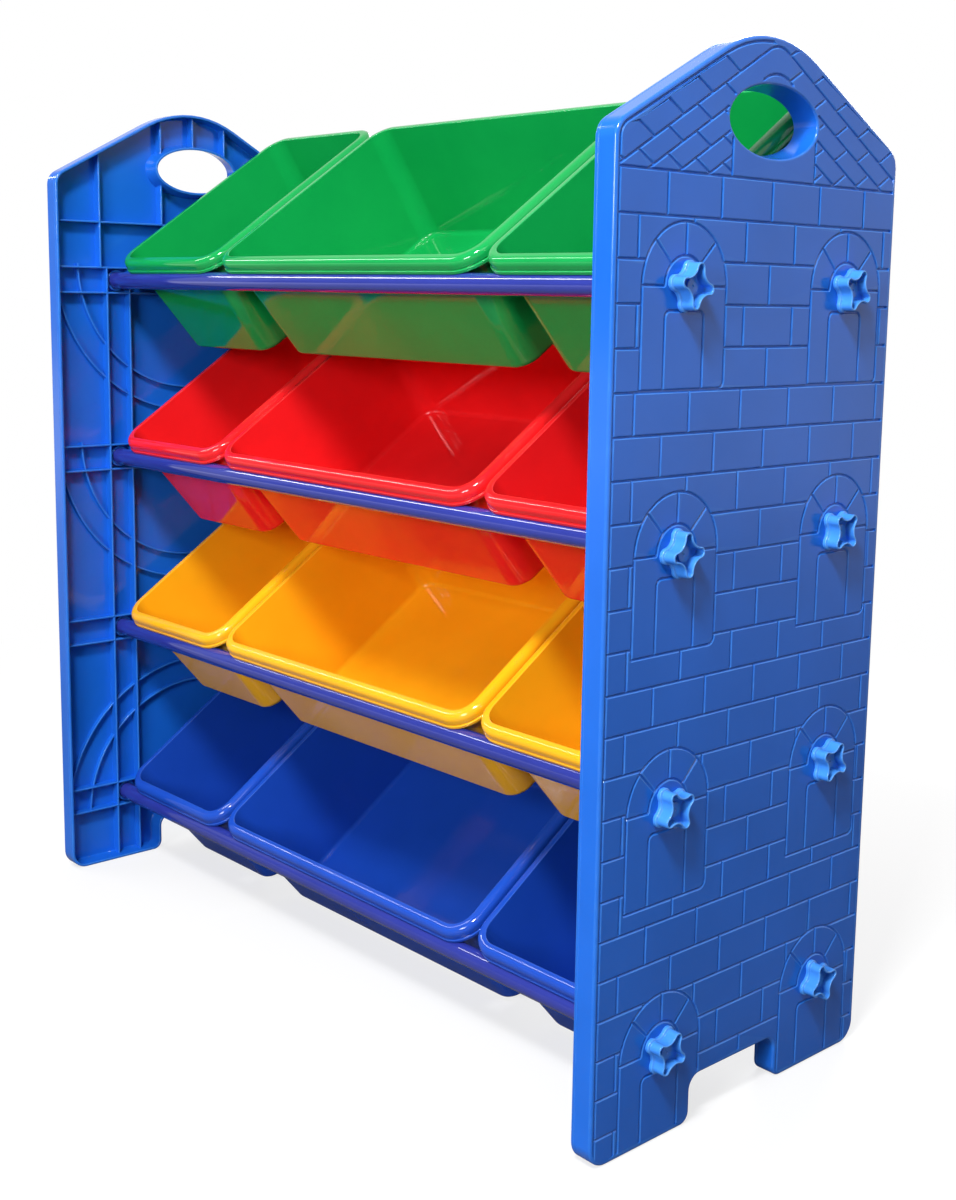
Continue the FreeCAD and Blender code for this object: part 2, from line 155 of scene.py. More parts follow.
# ---- knobs ----
KNOB_REACH = 17.8
KNOB_VALLEY = 10.5
KNOB_TIP_ROUND = 4.5
KNOB_TURNS = {"front": (-10, 4, 32, 60), "rear": (64, 45, 58, 20)}
KNOB_HEIGHT = 13.7
KNOB_WALL = 1.6
KNOB_CUP_FLOOR = 5.2
KNOB_FOOT = 1.8            # how far the foot stands out
KNOB_FOOT_HEIGHT = 3.5
KNOB_SOLE = 3.0            # from the cup's outline to a ring inside the flat sole
HUB_RADIUS = 6.0
HUB_FOOT = 0.3
HUB_TOP = 7.3
DIMPLE_RADIUS = 1.3
DIMPLE_FLOOR = 6.0
SCREW_RADIUS = 4.0
SCREW_LENGTH = 24.0
SCREW_TIP = 0.6            # radius of the screw's end, as a share of the screw's
SCREW_SIDES = 16
THREAD_PITCH = 2.0
THREAD_DEPTH = 0.45
THREAD_LEVELS = 4          # rings for each turn of the thread

# ---- bins ----
BIN_COLOURS = ("green", "red", "yellow", "blue")
BIN_LENGTH = 270.0
BIN_HEIGHT = 129.0
BIN_RIM_WIDTH = 9.0
BIN_TAPER = 10.0
BIN_LEAN = BIN_TAPER / BIN_HEIGHT
BIN_WALL = 2.0
BIN_FLOOR_START = 24.0     # where the flat floor begins, inwards from the top of the outer wall
BIN_FLOOR_ROUNDS = (6.5, 5.0)   # outside and inside
BIN_CORNER_ROUND = 21.0
BIN_SETBACK = 1.06
BIN_DROP = 24.0
BIN_TIP = math.asin(114.8 / 200.0)
BIN_PLACES = {"left": (198.0, -305.0), "wide": (406.0, 0.0), "right": (198.0, 305.0)}
LIP_THICKNESS = 2.4
SKIRT_INSIDE = 6.6         # of the skirt under the lip, outwards from the same place
SKIRT_WAIST = 7.0
SKIRT_OUTSIDE = 8.1
SKIRT_DEPTH = 14.2
BEAD_GROOVE = (9.6, 10.4, 11.0)  # top, root and foot of the groove above the bead
LIP_ROUND = 6.4
MOUTH_ROUND = 0.9

# ---- finishes ----
PLASTIC_IOR = 1.5
COAT_ROUGHNESS = 0.06
BUMP_STRENGTH = 0.5
GRAIN_SHARE = 0.15         # depth of the fine grain, as a share of the waves'
NOISE_SPAN = (0.3, 0.7)    # the part of a noise that is spread over the whole range
MOTTLE_TONES = (0.92, 1.06)
MOTTLE_LIFT = 0.002        # added to the lighter tone
GLOSS_SPREAD = (0.8, 1.25)
WEAR_AND_HIGHLIGHT_SHARES = (0.4, 1)      # of a marked edge that is pale, for wear and as a painted highlight
MOTTLE_SCALE = 9
GLOSS_SCALE = 35
WEAR_AND_HIGHLIGHT_SCALE = 60
WAVE_SCALE = 140
GRAIN_SCALE = 1800

# ---- floor, light and camera: metres and watts ----
FLOOR_REACH = 12.0
FLOOR_ROUGHNESS = 0.6
FLOOR_TONES = (0.18, 0.95)       # as light bounces off it, and as the camera sees it
FLOOR_FADE = (0.5, 1.6)          # distance over which the floor turns white
FLOOR_GLOW = 0.72                # share of white near the object
MIRROR_FADE = (0.8, 5.0)         # the same distance where a surface mirrors the floor
WINDOWS = (0.2, -0.75, 0.6)      # direction from which the room is brightest
ROOM_LEVELS = (0.08, 0.22)       # away from the windows and towards them
ROOM_TINT = (0.93, 0.97, 1.0, 1)
BACKDROP_SPAN = (-0.2, 0.4)      # direction Y over which a mirrored backdrop turns white
# Name, place, target, size and power of each lamp.
LAMPS = (
    ("key", (0.98, -1.4, 2.3), (0.2, 0, 0.5), (0.4, 0.4), 57),
    ("front_fill", (0.8, -2.3, 1.1), (0, 0, 0.5), (0.8, 0.6), 37),
    ("side_fill", (1.6, -0.7, 2.0), (0.4, 0, 0.6), (0.8, 0.8), 5),
    ("strip", (-2.0, -0.8, 1.8), (-2.0, 0.3, 0.9), (2.4, 0.1), 20),
    ("window", (-2.4, -1.15, 0.9), (0, 0, 0.5), (0.7, 1.6), 1),
    ("back_fill", (-1.1, 2.4, 1.5), (0, 0, 0.45), (1.4, 1.2), 50),
)
PICTURE = (956, 1200)            # pixels
FOCAL_LENGTH = 1559.18           # pixels
PICTURE_AXIS = (520.84, 532.59)  # pixel that the camera points at
SENSOR_HEIGHT = 36.0             # millimetres
CAMERA_PLACE = (1.20308, -0.97569, 0.66702)
CAMERA_RIGHT = (0.6801407, 0.73286372, 0.01787187)
CAMERA_DOWN = (0.12188251, -0.08900713, -0.98854559)
CAMERA_FORWARD = (-0.72287847, 0.67452835, -0.14986064)


# ---- outlines ----
def rounded(corners, closed=True, degrees=ARC_STEP):
    """Points of an outline through corners (x, y, radius), each corner rounded."""
    points = []
    for index, (x, y, radius) in enumerate(corners):
        here = Vector((x, y))
        at_end = not closed and index in (0, len(corners) - 1)
        if radius == 0 or at_end:
            points.append(here)
            continue
        back = (Vector(corners[index - 1][:2]) - here).normalized()
        ahead = (Vector(corners[(index + 1) % len(corners)][:2]) - here).normalized()
        half = back.angle(ahead) / 2
        centre = here + (back + ahead).normalized() * (radius / math.sin(half))
        spoke = here + back * (radius / math.tan(half)) - centre
        sweep = math.copysign(math.pi - 2 * half, ahead.cross(back))
        steps = max(2, round(abs(sweep) / math.radians(degrees)))
        for step in range(steps + 1):
            cos, sin = math.cos(sweep * step / steps), math.sin(sweep * step / steps)
            points.append(centre + Vector((cos * spoke.x - sin * spoke.y, sin * spoke.x + cos * spoke.y)))
    return points


def inset(corners, distance):
    """The same corners moved inwards, outward ones tighter and inward ones wider."""
    moved = []
    for index, (x, y, radius) in enumerate(corners):
        here = Vector((x, y))
        arriving = (here - Vector(corners[index - 1][:2])).normalized()
        leaving = (Vector(corners[(index + 1) % len(corners)][:2]) - here).normalized()
        turn = arriving.cross(leaving)
        inward = Vector((-arriving.y - leaving.y, arriving.x + leaving.x))
        place = here + inward * (distance / (1 + arriving.dot(leaving)))
        moved.append((place.x, place.y, max(radius - math.copysign(distance, turn), TIGHTEST_ROUND)))
    return moved


def arc(centre_u, centre_v, radius, start, end, steps):
    angles = [math.radians(start + (end - start) * step / steps) for step in range(steps + 1)]
    return [Vector((centre_u + radius * math.cos(a), centre_v + radius * math.sin(a))) for a in angles]


def ellipse(centre, reach, steps=96):
    angles = [2 * math.pi * step / steps for step in range(steps)]
    return [Vector((centre.x + reach.x * math.cos(a), centre.y + reach.y * math.sin(a))) for a in angles]


def circle(radius, steps):
    return ellipse(Vector((0, 0)), Vector((radius, radius)), steps)


# ---- forms ----
class Form:
    """Points in millimetres and the faces between them."""

    def __init__(self):
        self.points = []
        self.faces = []

    def add(self, points, faces):
        first = len(self.points)
        self.points.extend(points)
        self.faces.extend([[first + index for index in face] for face in faces])

    def loft(self, rings, closed=True):
        """Quads between rings that have as many points each."""
        count = len(rings[0])
        faces = []
        for level in range(len(rings) - 1):
            low, high = level * count, (level + 1) * count
            for index in range(count if closed else count - 1):
                after = (index + 1) % count
                faces.append((low + index, low + after, high + after, high + index))
        self.add([point for ring in rings for point in ring], faces)

    def cap(self, ring):
        self.add(ring, [range(len(ring))])

    def mirrored(self):
        """The same form on the left-hand side."""
        other = Form()
        other.points = [Vector((-p[0], p[1], p[2])) for p in self.points]
        other.faces = [face[::-1] for face in self.faces]
        return other


def mark_wear_and_highlight(grid):
    """Marks the narrow faces along outward edges, which handling pales first and which are paled as a painted
    highlight.
    """
    wear_and_highlight = grid.faces.layers.float.new("wear_and_highlight")
    for face in grid.faces:
        area = face.calc_area()
        bends = [edge.calc_face_angle_signed(0) * edge.calc_length() / area for edge in face.edges]
        face[wear_and_highlight] = min(max(max(bends) * MM / WEAR_AND_HIGHLIGHT_BEND, 0), 1)


def piece(name, form, slot, body):
    """A mesh object that stands for the node of the same name."""
    mesh = bpy.data.meshes.new(f"{name}_look")
    mesh.from_pydata([Vector(point) * MM for point in form.points], [], form.faces)
    grid = bmesh.new()
    grid.from_mesh(mesh)
    bmesh.ops.remove_doubles(grid, verts=grid.verts, dist=WELD * MM)
    bmesh.ops.dissolve_degenerate(grid, edges=grid.edges, dist=SHORTEST_EDGE * MM)
    mark_wear_and_highlight(grid)
    grid.to_mesh(mesh)
    grid.free()
    mesh.shade_smooth()
    mesh.set_sharp_from_angle(angle=math.radians(SHARP_ANGLE))
    mesh.materials.append(materials[slot])
    thing = bpy.data.objects.new(f"{name}_look", mesh)
    bpy.context.scene.collection.objects.link(thing)
    weighted = thing.modifiers.new("even_shading", "WEIGHTED_NORMAL")
    weighted.keep_sharp = True
    weighted.weight = SHADING_WEIGHT
    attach(thing, body)
    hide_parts(name)


# ---- end panels ----
# u is the depth (Y), v the height (Z), and out is measured from the outer face.
def at(u, v, out):
    return Vector((HALF_WIDTH + out, u, v))


def panel_corners():
    gap = FOOT_GAP / 2
    lower, upper = FOOT_GAP_ROUNDS
    return [
        (-HALF_DEPTH, 0, CORNER_ROUND), (-gap, 0, lower), (-gap, FOOT_GAP_HEIGHT, upper),
        (gap, FOOT_GAP_HEIGHT, upper), (gap, 0, lower), (HALF_DEPTH, 0, CORNER_ROUND),
        (HALF_DEPTH, EAVE_HEIGHT, CORNER_ROUND), (0, RIDGE_HEIGHT, RIDGE_ROUND),
        (-HALF_DEPTH, EAVE_HEIGHT, CORNER_ROUND),
    ]


def roof_height(u):
    """Height of the panel's outline over a depth u."""
    if abs(u) < RIDGE_ROUND * math.sin(math.atan(ROOF_SLOPE)):
        centre = RIDGE_HEIGHT - RIDGE_ROUND * math.hypot(1, ROOF_SLOPE)
        return centre + math.sqrt(RIDGE_ROUND**2 - u**2)
    return RIDGE_HEIGHT - abs(u) * ROOF_SLOPE


def in_hole(u, v, margin):
    reach_u, reach_v = HOLE_REACH.x + margin, HOLE_REACH.y + margin
    return ((u - HOLE_CENTRE.x) / reach_u) ** 2 + ((v - HOLE_CENTRE.y) / reach_v) ** 2 < 1


def past_edge(u, v):
    """Whether a point lies on the plain border outside the pattern."""
    if abs(u) > HALF_DEPTH - EDGE_LINE or v < EDGE_LINE:
        return True
    if abs(u) < FOOT_GAP / 2 + EDGE_LINE and v < FOOT_GAP_HEIGHT + EDGE_LINE:
        return True
    return v > roof_height(u) - EDGE_LINE * math.hypot(1, ROOF_SLOPE)


def in_door(u, v):
    for door_u in TUBE_PLACES.values():
        for door_v in ROW_HEIGHTS:
            across, above = abs(u - door_u), v - door_v
            if -DOOR_SILL < above <= 0 and across < DOOR_REACH:
                return True
            if above > 0 and math.hypot(across, above) < DOOR_REACH:
                return True
    return False


def in_plate(u, v):
    return PLATE[0] < u < PLATE[1] and v < HOLE_CENTRE.y


def open_stretches(start, end, hidden):
    """Stretches of a straight line on which hidden(u, v) is false."""
    steps = max(2, round((end - start).length / LINE_STEP))
    stretches = []
    begun = None
    for step in range(steps + 1):
        point = start.lerp(end, step / steps)
        if hidden(point.x, point.y):
            begun = None
        elif begun is None:
            begun = point
            stretches.append([begun, begun])
        else:
            stretches[-1][1] = point
    return [pair for pair in stretches if (pair[1] - pair[0]).length > SHORTEST_LINE]


def wall_lines():
    """Courses and upright joints of the brickwork, outside the doorways."""

    def hidden(u, v):
        return past_edge(u, v) or in_door(u, v)

    lines = []
    for course in range(COURSES):
        v = COURSE_TOP - COURSE_PITCH * course
        lines += open_stretches(Vector((-HALF_DEPTH, v)), Vector((HALF_DEPTH, v)), hidden)
        u = ODD_JOINT if course % 2 else EVEN_JOINT
        while u < HALF_DEPTH:
            lines += open_stretches(Vector((u, v)), Vector((u, v - COURSE_PITCH)), hidden)
            u += BRICK_LENGTH
    return lines


def door_lines(u, v):
    """Arch, keystones, spring line, leaf and sill of one doorway."""
    lines = [arc(u, v, DOOR_REACH, 0, 180, ARCH_STEPS), arc(u, v, RING_REACH, 0, 180, RING_STEPS)]
    foot = max(v - DOOR_SILL, 0)
    has_sill = foot > 1
    if has_sill:
        frame_corners = [(u + DOOR_REACH, v, 0), (u + DOOR_REACH, foot, DOOR_ROUND),
                         (u - DOOR_REACH, foot, 0)]
        lines.append(rounded(frame_corners, closed=False, degrees=PROFILE_STEP))
        lines.append([Vector((u - DOOR_REACH, foot)), Vector((u - DOOR_REACH, v))])
    else:
        for side in (-1, 1):
            jamb = Vector((u + side * DOOR_REACH, v))
            lines += open_stretches(jamb, Vector((jamb.x, 0)), past_edge)
    for angle in KEYSTONE_ANGLES:
        ray = Vector((math.cos(math.radians(angle)), math.sin(math.radians(angle))))
        lines.append([Vector((u, v)) + ray * RING_REACH, Vector((u, v)) + ray * DOOR_REACH])
    for side in (-1, 1):
        lines.append([Vector((u + side * RING_REACH, v)), Vector((u + side * DOOR_REACH, v))])
    leaf_foot = foot if has_sill else EDGE_LINE
    leaf_corners = [(u - LEAF_REACH, leaf_foot, 0), (u - LEAF_REACH, v - LEAF_TOP, LEAF_ROUND),
                    (u + LEAF_REACH, v - LEAF_TOP, LEAF_ROUND), (u + LEAF_REACH, leaf_foot, 0)]
    lines.append(rounded(leaf_corners, closed=False, degrees=PROFILE_STEP))
    return lines


def gable_lines():
    """Sloping courses and joints round the hand hole, and the plain plate under it."""

    def hidden(u, v):
        return past_edge(u, v) or in_hole(u, v, HOLE_RIM) or in_plate(u, v) or v < COURSE_TOP

    def on_slope(side, across, apex):
        return Vector((PATTERN_MIDDLE + side * across, apex - across * GABLE_SLOPE))

    lines = []
    for course in range(GABLE_COURSES):
        apex = GABLE_APEX - GABLE_PITCH * course
        tangent = 0.0
        if course < len(GABLE_ROUNDS):
            left, right = on_slope(-1, GABLE_APEX_REACH, apex), on_slope(1, GABLE_APEX_REACH, apex)
            corners = [(left.x, left.y, 0), (PATTERN_MIDDLE, apex, GABLE_ROUNDS[course]),
                       (right.x, right.y, 0)]
            lines.append(rounded(corners, closed=False)[1:-1])
            tangent = lines[-1][-1].x - PATTERN_MIDDLE
        for side in (-1, 1):
            lines += open_stretches(on_slope(side, tangent, apex), on_slope(side, GABLE_REACH, apex), hidden)
        for side in (-1, 1):
            for number in range(1, GABLE_JOINTS + 1):
                # The joint next to the middle is there only in the two top courses, to the right.
                if number == 1 and (side < 0 or course > 1):
                    continue
                near = GABLE_JOINT * number
                start = on_slope(side, near, apex + GABLE_PITCH)
                end = on_slope(side, near - GABLE_JOINT_LEAN, apex)
                lines += open_stretches(start, end, hidden)
    for u in PLATE:
        lines += open_stretches(Vector((u, COURSE_TOP)), Vector((u, HOLE_CENTRE.y)),
                                lambda a, b: in_hole(a, b, HOLE_RIM))
    return lines


def front_edge_line():
    """Groove that runs from the ridge down the front slope and the front edge."""
    outline = rounded(inset(panel_corners(), EDGE_LINE))
    upper = [point for point in outline if point.x < 0 and point.y > EAVE_HEIGHT / 2]
    return upper + [Vector((EDGE_LINE - HALF_DEPTH, EDGE_LINE))]


def side_line(points, shift, closed=False):
    """The polyline moved sideways by shift."""
    moved = []
    count = len(points)
    for index, here in enumerate(points):
        before = points[index - 1] if closed or index else here
        after = points[(index + 1) % count] if closed or index < count - 1 else here
        arriving = (here - before).normalized() if before is not here else (after - here).normalized()
        leaving = (after - here).normalized() if after is not here else arriving
        sideways = Vector((-arriving.y - leaving.y, arriving.x + leaving.x))
        moved.append(here + sideways * (shift / (1 + arriving.dot(leaving))))
    return moved


def groove_depth(points, segments):
    """Depth of the relief at each point, from its distance to the nearest groove."""
    depths = []
    start = segments[:, 0]
    along = segments[:, 1] - start
    lengths = (along**2).sum(axis=1)
    for point in points:
        offset = numpy.array(point) - start
        share = numpy.clip((offset * along).sum(axis=1) / lengths, 0, 1)
        away = offset - along * share[:, None]
        distance = math.sqrt((away**2).sum(axis=1).min())
        depths.append(float(numpy.interp(distance, [g[0] for g in GROOVE], [g[1] for g in GROOVE])))
    return depths


def flat_faces(points, edges, loops):
    """Points and faces inside the first loop and outside the second, in the plane."""
    found = delaunay_2d_cdt(points, edges, loops, 0, SAME_POINT, True)
    flat, faces, owners = found[0], found[2], found[5]
    return flat, [face for face, owner in zip(faces, owners) if owner == [0]]


def outer_face(form):
    """The brick pattern in relief, with the hand hole left open."""
    lines = wall_lines() + gable_lines() + [front_edge_line()]
    for u in TUBE_PLACES.values():
        for v in ROW_HEIGHTS:
            lines += door_lines(u, v)
    points = []
    edges = []
    segments = []

    def chain(line, closed=False):
        first = len(points)
        points.extend(line)
        edges.extend((first + index, first + index + 1) for index in range(len(line) - 1))
        if closed:
            edges.append((first + len(line) - 1, first))
        return list(range(first, first + len(line)))

    field = chain(rounded(inset(panel_corners(), EDGE_ROUND)), True)
    hole = chain(ellipse(HOLE_CENTRE, HOLE_REACH + Vector((HOLE_LIP, HOLE_LIP))), True)
    for line in lines:
        for half_width, _ in GROOVE:
            chain(side_line(line, half_width))
            chain(side_line(line, -half_width))
        segments += [(tuple(a), tuple(b)) for a, b in zip(line, line[1:])]
    flat, kept = flat_faces(points, edges, [field, hole])
    depths = groove_depth(flat, numpy.array(segments))
    used = sorted({index for face in kept for index in face})
    order = {index: number for number, index in enumerate(used)}
    form.add([at(flat[i].x, flat[i].y, depths[i]) for i in used], [[order[i] for i in face] for face in kept])


def flat_web(form, outside, inside, out):
    """Flat web between two outlines, facing inwards."""
    middle, count = len(outside), len(outside) + len(inside)
    flat, kept = flat_faces(outside + inside, [], [list(range(middle)), list(range(middle, count))])
    form.add([at(p.x, p.y, out) for p in flat], [face[::-1] for face in kept])


def bar(form, path, reach, closed=False):
    """Rib along a path, standing on the web, with a rounded top."""
    section = rounded([
        (-RIB_HALF - RIB_DRAFT, -RIB_ROOT, 0), (-RIB_HALF, -reach, RIB_ROUND),
        (RIB_HALF, -reach, RIB_ROUND), (RIB_HALF + RIB_DRAFT, -RIB_ROOT, 0),
    ], closed=False, degrees=RIB_STEP)
    tracks = [(side_line(path, offset, closed), out) for offset, out in section]
    rings = [[at(track[index].x, track[index].y, out) for track, out in tracks] for index in range(len(path))]
    if closed:
        rings.append(rings[0])
    form.loft(rings, closed=False)


def ribs(form):
    """Straight, arched and socket ribs of the inner side."""
    wall = PANEL_WALL / 2
    edge = HALF_DEPTH - wall
    gable_foot = ROW_HEIGHTS[0] + SOCKET_RIB_SPREAD

    def straight(u_start, v_start, u_end, v_end):
        bar(form, [Vector((u_start, v_start)), Vector((u_end, v_end))], RIB_REACH)

    straight(-edge, EAVE_RIB_HEIGHT, edge, EAVE_RIB_HEIGHT)
    for u in (-OUTER_RIB_OFFSET, OUTER_RIB_OFFSET):
        straight(u, gable_foot, u, roof_height(u) - wall)
    for offset in (-CROWN_RIB_PITCH, 0, CROWN_RIB_PITCH):
        u = HOLE_CENTRE.x + offset
        rise = HOLE_REACH.y * math.sqrt(1 - (offset / HOLE_REACH.x) ** 2)
        straight(u, HOLE_CENTRE.y + rise, u, roof_height(u) - wall)
        if offset:
            straight(u, EAVE_RIB_HEIGHT, u, HOLE_CENTRE.y - rise)
    for tube_u in TUBE_PLACES.values():
        for side in (-SOCKET_RIB_SPREAD, SOCKET_RIB_SPREAD):
            straight(tube_u + side, wall, tube_u + side, gable_foot)
    for v in ROW_HEIGHTS:
        for side in (-SOCKET_RIB_SPREAD, SOCKET_RIB_SPREAD):
            straight(-edge, v + side, edge, v + side)
        for tube_u in TUBE_PLACES.values():
            ring = arc(tube_u, v, TUBE_RADIUS + SOCKET_GAP, 0, 360, SOCKET_STEPS)[:-1]
            bar(form, ring, SOCKET_REACH, closed=True)
    for radius in ARC_RIB_RADII:
        for v, start in ARC_RIBS:
            bar(form, arc(0, v, radius, start, start + 180, ARC_RIB_STEPS), ARC_RIB_REACH)


def end_panel():
    """The right-hand panel."""
    form = Form()
    foot_round, inner_round, outer_round = RIM_ROUNDS
    line_round, line_root = RIM_LINE_ROUNDS
    rim = rounded([
        (WEB_START, -PANEL_WALL, 0), (PANEL_WALL + RIM_DRAFT, -PANEL_WALL, foot_round),
        (PANEL_WALL, -PANEL_RIM, inner_round), (0, -PANEL_RIM, outer_round),
        (0, -RIM_LINE - RIM_LINE_HALF, line_round), (RIM_LINE_DEPTH, -RIM_LINE, line_root),
        (0, -RIM_LINE + RIM_LINE_HALF, line_round), (0, 0, EDGE_ROUND), (EDGE_ROUND, 0, 0),
    ], closed=False, degrees=PROFILE_STEP)
    form.loft([[at(p.x, p.y, out) for p in rounded(inset(panel_corners(), distance))]
               for distance, out in rim])
    outer_face(form)
    edge_round, end_round = HOLE_ROUNDS
    web_draft = HOLE_DRAFT * PANEL_WALL / PANEL_RIM
    funnel = rounded([
        (-HOLE_LIP, 0, 0), (0, 0, edge_round), (HOLE_DRAFT, -PANEL_RIM, end_round),
        (HOLE_DRAFT - HOLE_WALL, -PANEL_RIM, end_round), (web_draft - HOLE_WALL, -PANEL_WALL, 0),
    ], closed=False, degrees=PROFILE_STEP)
    reaches = [HOLE_REACH - Vector((distance, distance)) for distance, _ in funnel]
    form.loft([[at(p.x, p.y, step.y) for p in ellipse(HOLE_CENTRE, reach)]
               for step, reach in zip(funnel, reaches)])
    flat_web(form, rounded(inset(panel_corners(), WEB_START)), ellipse(HOLE_CENTRE, reaches[-1]), -PANEL_WALL)
    ribs(form)
    return form


# ---- tubes and knobs ----
def tube(depth, height):
    """Painted tube with its bore and eased ends."""
    form = Form()
    bore = TUBE_RADIUS - TUBE_WALL
    inner_round, outer_round = TUBE_ROUNDS
    profile = rounded([
        (bore, 0, 0), (bore, -TUBE_SEAT, inner_round), (TUBE_RADIUS, -TUBE_SEAT, outer_round),
        (TUBE_RADIUS, TUBE_SEAT, outer_round), (bore, TUBE_SEAT, inner_round), (bore, 0, 0),
    ], closed=False, degrees=TUBE_STEP)
    form.loft([[Vector((x, depth + p.x, height + p.y)) for p in circle(radius, TUBE_SIDES)]
               for radius, x in profile])
    return form


def lobed(grow, height, steps=7):
    """Ring of a four-lobed outline, moved outwards by grow."""
    tip_radius = KNOB_TIP_ROUND + grow
    tip_centre = KNOB_REACH - KNOB_TIP_ROUND
    spread = KNOB_TIP_ROUND - KNOB_VALLEY
    hollow_centre = (tip_centre**2 - spread**2) / (2 * tip_centre * math.cos(math.pi / 4) + 2 * spread)
    hollow_radius = hollow_centre - KNOB_VALLEY - grow
    hollow = Vector((math.cos(math.pi / 4), math.sin(math.pi / 4))) * hollow_centre
    half_tip = math.atan2(hollow.y, hollow.x - tip_centre)
    half_hollow = half_tip - math.pi / 4
    points = []
    for lobe in range(4):
        angle = math.pi / 2 * lobe
        centre = Vector((math.cos(angle), math.sin(angle))) * tip_centre
        for step in range(-steps, steps + 1):
            turn = angle + half_tip * step / steps
            points.append(centre + Vector((math.cos(turn), math.sin(turn))) * tip_radius)
        middle = angle + math.pi / 4
        centre = Vector((math.cos(middle), math.sin(middle))) * hollow_centre
        for step in range(1 - steps, steps):
            turn = middle + math.pi - half_hollow * step / steps
            points.append(centre + Vector((math.cos(turn), math.sin(turn))) * hollow_radius)
    return [Vector((p.x, p.y, height)) for p in points]


def knob_rings():
    """Rings of the knob's sole, stepped foot, hollow cup, hub and dimple."""
    cup_foot = KNOB_WALL + 0.3
    profile = rounded([
        (-KNOB_SOLE, 0, 0), (KNOB_FOOT, 0, 0.5), (KNOB_FOOT, KNOB_FOOT_HEIGHT, 1.1),
        (0.15, KNOB_FOOT_HEIGHT, 0.6), (0, KNOB_HEIGHT, 0.8), (-KNOB_WALL, KNOB_HEIGHT, 0.75),
        (-cup_foot, KNOB_CUP_FLOOR, 0.9), (-KNOB_WALL * 2, KNOB_CUP_FLOOR, 0),
    ], closed=False, degrees=KNOB_STEP)
    hub = rounded([
        (HUB_RADIUS + HUB_FOOT, KNOB_CUP_FLOOR, 0), (HUB_RADIUS, KNOB_CUP_FLOOR, 0.25),
        (HUB_RADIUS, HUB_TOP, 0.5), (DIMPLE_RADIUS, HUB_TOP, 0.3), (0.02, DIMPLE_FLOOR, 0),
    ], closed=False, degrees=HUB_STEP)
    spokes = [Vector((p.x, p.y)).normalized() for p in lobed(0, 0)]
    rings = [[Vector((s.x * SCREW_RADIUS, s.y * SCREW_RADIUS, 0)) for s in spokes]]
    rings += [lobed(grow, z) for grow, z in profile]
    rings += [[Vector((s.x * r, s.y * r, z)) for s in spokes] for r, z in hub]
    return rings


def screw_rings():
    """Rings of the threaded screw, from its tip to the knob."""
    levels = THREAD_LEVELS * round(SCREW_LENGTH / THREAD_PITCH)
    rings = [[Vector((p.x * SCREW_TIP, p.y * SCREW_TIP, -SCREW_LENGTH))
              for p in circle(SCREW_RADIUS, SCREW_SIDES)]]
    for level in range(levels + 1):
        z = -SCREW_LENGTH + SCREW_LENGTH * level / levels
        ring = []
        for index, p in enumerate(circle(1, SCREW_SIDES)):
            phase = z / THREAD_PITCH - index / SCREW_SIDES
            radius = SCREW_RADIUS - THREAD_DEPTH * (0.5 - 0.5 * math.cos(2 * math.pi * phase))
            ring.append(Vector((p.x * radius, p.y * radius, z)))
        rings.append(ring)
    return rings


def knob(depth, height, turn):
    """Right-hand knob with its screw, turned by some degrees."""
    local = Form()
    local.loft(knob_rings())
    screw = screw_rings()
    local.cap(screw[0][::-1])
    local.loft(screw)
    form = Form()
    cos, sin = math.cos(math.radians(turn)), math.sin(math.radians(turn))
    form.faces = local.faces
    form.points = [Vector((HALF_WIDTH + p.z, depth + cos * p.x - sin * p.y, height + sin * p.x + cos * p.y))
                   for p in local.points]
    return form


# ---- bins ----
def bin_profile():
    """Section of the bin's wall: outside up to the lip, round its skirt and bead, and down inside."""
    inner_floor = BIN_HEIGHT - BIN_WALL
    outer_round, inner_round = BIN_FLOOR_ROUNDS
    groove_top, groove_root, groove_foot = BEAD_GROOVE
    return rounded([
        (-BIN_FLOOR_START, -BIN_HEIGHT, 0), (-BIN_TAPER, -BIN_HEIGHT, outer_round),
        (-LIP_THICKNESS * BIN_LEAN, -LIP_THICKNESS, 1.0), (SKIRT_INSIDE, -LIP_THICKNESS, 2.5),
        (SKIRT_INSIDE, -SKIRT_DEPTH, 0.4), (BIN_RIM_WIDTH, -SKIRT_DEPTH, 0.8),
        (BIN_RIM_WIDTH, -groove_foot, 0.7), (SKIRT_WAIST, -groove_root, 0.4),
        (SKIRT_OUTSIDE, -groove_top, 0.8),
        (SKIRT_OUTSIDE, 0, LIP_ROUND), (-BIN_WALL, 0, MOUTH_ROUND),
        (-inner_floor * BIN_LEAN - BIN_WALL, -inner_floor, inner_round), (-BIN_FLOOR_START, -inner_floor, 0),
    ], closed=False, degrees=PROFILE_STEP)


def hung_bin(width, middle, height):
    """Tapered bin with a turned lip, tipped on its two tubes."""
    tip = Matrix.Rotation(BIN_TIP, 3, "X")
    rings = []
    for offset, z in bin_profile():
        x, y = width / 2 - BIN_RIM_WIDTH + offset, BIN_LENGTH / 2 - BIN_RIM_WIDTH + offset
        corner = BIN_CORNER_ROUND + offset - z * BIN_LEAN
        ring = rounded([(x, -y, corner), (x, y, corner), (-x, y, corner), (-x, -y, corner)])
        level = [Vector((p.x, p.y + BIN_LENGTH / 2 - BIN_SETBACK, z + BIN_DROP)) for p in ring]
        rings.append([tip @ p + Vector((middle, TUBE_PLACES["front"], height)) for p in level])
    form = Form()
    form.loft(rings)
    form.cap(rings[0][::-1])
    form.cap(rings[-1])
    return form


